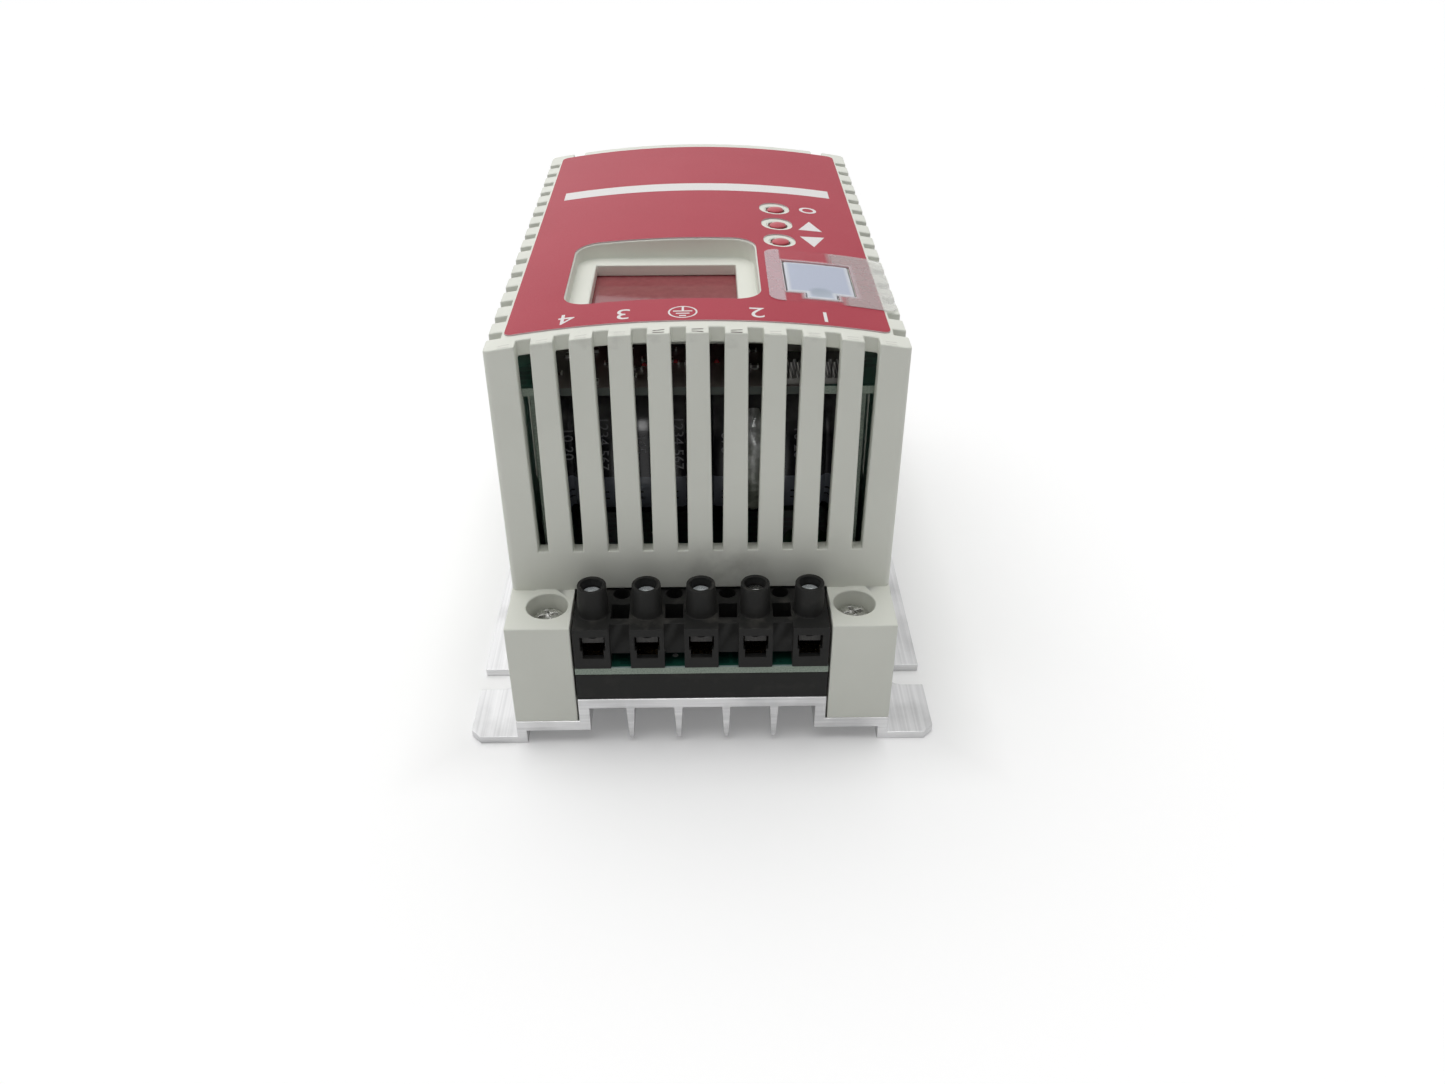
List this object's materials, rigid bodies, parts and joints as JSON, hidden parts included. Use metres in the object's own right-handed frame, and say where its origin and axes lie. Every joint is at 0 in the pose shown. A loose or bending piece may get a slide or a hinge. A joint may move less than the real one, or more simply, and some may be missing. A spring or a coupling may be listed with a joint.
{
  "type": "variable frequency drive",
  "caption": "Compact finned-base motor drive with a slotted, arched housing, display window, keys, plug-in memory module and screw terminals at both ends.",
  "frame": {"origin": "middle of the mounting plane, under the middle of the heatsink", "axes": "+Z out of the mounting plane towards the label, +Y from the line terminals towards the motor terminals, +X to the right when seen from the line terminals"},
  "size_m": [0.093, 0.146, 0.0831],
  "materials": {
    "mill_aluminium": "bright mill finish with fine extrusion lines",
    "housing_plastic": "fine satin moulded light grey",
    "label_red": "satin printed crimson film",
    "red_window": "clear dark red acrylic",
    "display_body": "dark red tinted epoxy face",
    "circuit_board": "green solder mask",
    "key_red": "satin crimson",
    "black_plastic": "matt black",
    "module_plastic": "milky pale blue, slightly glossy",
    "white_plastic": "satin off-white nylon",
    "clear_film": "clear adhesive film with milky patches",
    "terminal_black": "matt black thermoplastic",
    "thermal_sheet": "soft grey silicone sheet",
    "relay_blue": "glossy blue case",
    "core_yellow": "coated ring core",
    "copper_wire": "enamelled copper",
    "film_yellow": "glossy box case",
    "thermistor_green": "dark green lacquer",
    "ferrite": "dark grey ferrite and tape",
    "contact_brass": "tin plated brass",
    "strip_green": "dark green thermoplastic",
    "zinc_steel": "bright zinc plate",
    "clamp_steel": "dark plated steel",
    "capacitor_sleeve": "glossy black shrink sleeve"
  },
  "bodies": {
    "drive": {"heatsink": "mill_aluminium", "housing": "housing_plastic", "label": "label_red", "display_window": "red_window", "led_display": "display_body", "control_board": "circuit_board", "key_switches": "black_plastic", "module_socket": "white_plastic", "module_film": "clear_film", "controller_chip": "black_plastic", "pin_header": "white_plastic", "power_board": "circuit_board", "insulator_frame": "terminal_black", "power_module": "black_plastic", "thermal_pad": "thermal_sheet", "side_board_left": "circuit_board", "side_board_right": "circuit_board", "bus_capacitor_1": "capacitor_sleeve", "bus_capacitor_2": "capacitor_sleeve", "bus_capacitor_3": "capacitor_sleeve", "bus_capacitor_4": "capacitor_sleeve", "relay": "relay_blue", "choke_core": "core_yellow", "choke_winding": "copper_wire", "film_capacitors": "film_yellow", "thermistor": "thermistor_green", "supply_transformer": "ferrite", "board_link": "black_plastic", "input_terminal_block": "terminal_black", "input_contacts": "contact_brass", "output_terminal_block": "terminal_black", "output_contacts": "contact_brass", "control_terminal_strip": "strip_green", "control_screws": "zinc_steel", "housing_screws": "zinc_steel", "power_board_screws": "zinc_steel", "control_board_screws": "zinc_steel"},
    "key_mode": {"key_mode": "key_red"},
    "key_up": {"key_up": "key_red"},
    "key_down": {"key_down": "key_red"},
    "memory_module": {"memory_module": "module_plastic"},
    "input_screw_1": {"input_screw_1": "zinc_steel"},
    "input_clamp_1": {"input_clamp_1": "clamp_steel"},
    "input_screw_2": {"input_screw_2": "zinc_steel"},
    "input_clamp_2": {"input_clamp_2": "clamp_steel"},
    "input_screw_3": {"input_screw_3": "zinc_steel"},
    "input_clamp_3": {"input_clamp_3": "clamp_steel"},
    "input_screw_4": {"input_screw_4": "zinc_steel"},
    "input_clamp_4": {"input_clamp_4": "clamp_steel"},
    "input_screw_5": {"input_screw_5": "zinc_steel"},
    "input_clamp_5": {"input_clamp_5": "clamp_steel"},
    "output_screw_1": {"output_screw_1": "zinc_steel"},
    "output_clamp_1": {"output_clamp_1": "clamp_steel"},
    "output_screw_2": {"output_screw_2": "zinc_steel"},
    "output_clamp_2": {"output_clamp_2": "clamp_steel"},
    "output_screw_3": {"output_screw_3": "zinc_steel"},
    "output_clamp_3": {"output_clamp_3": "clamp_steel"},
    "output_screw_4": {"output_screw_4": "zinc_steel"},
    "output_clamp_4": {"output_clamp_4": "clamp_steel"}
  },
  "joints": [
    {"name": "key_mode_press", "type": "slide", "parent": "drive", "child": "key_mode", "axis": [0, 0, -1], "range_m": [0, 0.0005], "stiffness_N_per_m": 1000},
    {"name": "key_up_press", "type": "slide", "parent": "drive", "child": "key_up", "axis": [0, 0, -1], "range_m": [0, 0.0005], "stiffness_N_per_m": 1000},
    {"name": "key_down_press", "type": "slide", "parent": "drive", "child": "key_down", "axis": [0, 0, -1], "range_m": [0, 0.0005], "stiffness_N_per_m": 1000},
    {"name": "memory_module_pull", "type": "slide", "parent": "drive", "child": "memory_module", "axis": [0, 0, 1], "range_m": [0, 0.012]},
    {"name": "input_screw_1_turn", "type": "hinge", "parent": "drive", "child": "input_screw_1", "pos_m": [-0.0206, -0.0671, 0.0311], "axis": [0, 0, -1], "range_deg": [0, 1728.5]},
    {"name": "input_clamp_1_lower", "type": "slide", "parent": "drive", "child": "input_clamp_1", "axis": [0, 0, -1], "range_m": [0, 0.0024]},
    {"name": "input_screw_2_turn", "type": "hinge", "parent": "drive", "child": "input_screw_2", "pos_m": [-0.0103, -0.0671, 0.0311], "axis": [0, 0, -1], "range_deg": [0, 1728.5]},
    {"name": "input_clamp_2_lower", "type": "slide", "parent": "drive", "child": "input_clamp_2", "axis": [0, 0, -1], "range_m": [0, 0.0024]},
    {"name": "input_screw_3_turn", "type": "hinge", "parent": "drive", "child": "input_screw_3", "pos_m": [0, -0.0671, 0.0311], "axis": [0, 0, -1], "range_deg": [0, 1728.5]},
    {"name": "input_clamp_3_lower", "type": "slide", "parent": "drive", "child": "input_clamp_3", "axis": [0, 0, -1], "range_m": [0, 0.0024]},
    {"name": "input_screw_4_turn", "type": "hinge", "parent": "drive", "child": "input_screw_4", "pos_m": [0.0103, -0.0671, 0.0311], "axis": [0, 0, -1], "range_deg": [0, 1728.5]},
    {"name": "input_clamp_4_lower", "type": "slide", "parent": "drive", "child": "input_clamp_4", "axis": [0, 0, -1], "range_m": [0, 0.0024]},
    {"name": "input_screw_5_turn", "type": "hinge", "parent": "drive", "child": "input_screw_5", "pos_m": [0.0206, -0.0671, 0.0311], "axis": [0, 0, -1], "range_deg": [0, 1728.5]},
    {"name": "input_clamp_5_lower", "type": "slide", "parent": "drive", "child": "input_clamp_5", "axis": [0, 0, -1], "range_m": [0, 0.0024]},
    {"name": "output_screw_1_turn", "type": "hinge", "parent": "drive", "child": "output_screw_1", "pos_m": [0.01545, 0.0671, 0.0311], "axis": [0, 0, -1], "range_deg": [0, 1728.5]},
    {"name": "output_clamp_1_lower", "type": "slide", "parent": "drive", "child": "output_clamp_1", "axis": [0, 0, -1], "range_m": [0, 0.0024]},
    {"name": "output_screw_2_turn", "type": "hinge", "parent": "drive", "child": "output_screw_2", "pos_m": [0.00515, 0.0671, 0.0311], "axis": [0, 0, -1], "range_deg": [0, 1728.5]},
    {"name": "output_clamp_2_lower", "type": "slide", "parent": "drive", "child": "output_clamp_2", "axis": [0, 0, -1], "range_m": [0, 0.0024]},
    {"name": "output_screw_3_turn", "type": "hinge", "parent": "drive", "child": "output_screw_3", "pos_m": [-0.00515, 0.0671, 0.0311], "axis": [0, 0, -1], "range_deg": [0, 1728.5]},
    {"name": "output_clamp_3_lower", "type": "slide", "parent": "drive", "child": "output_clamp_3", "axis": [0, 0, -1], "range_m": [0, 0.0024]},
    {"name": "output_screw_4_turn", "type": "hinge", "parent": "drive", "child": "output_screw_4", "pos_m": [-0.01545, 0.0671, 0.0311], "axis": [0, 0, -1], "range_deg": [0, 1728.5]},
    {"name": "output_clamp_4_lower", "type": "slide", "parent": "drive", "child": "output_clamp_4", "axis": [0, 0, -1], "range_m": [0, 0.0024]}
  ],
  "couplings": [
    {"joint": "input_screw_1_turn", "follows": "input_clamp_1_lower", "rad_per_m": 12566},
    {"joint": "input_screw_2_turn", "follows": "input_clamp_2_lower", "rad_per_m": 12566},
    {"joint": "input_screw_3_turn", "follows": "input_clamp_3_lower", "rad_per_m": 12566},
    {"joint": "input_screw_4_turn", "follows": "input_clamp_4_lower", "rad_per_m": 12566},
    {"joint": "input_screw_5_turn", "follows": "input_clamp_5_lower", "rad_per_m": 12566},
    {"joint": "output_screw_1_turn", "follows": "output_clamp_1_lower", "rad_per_m": 12566},
    {"joint": "output_screw_2_turn", "follows": "output_clamp_2_lower", "rad_per_m": 12566},
    {"joint": "output_screw_3_turn", "follows": "output_clamp_3_lower", "rad_per_m": 12566},
    {"joint": "output_screw_4_turn", "follows": "output_clamp_4_lower", "rad_per_m": 12566}
  ]
}
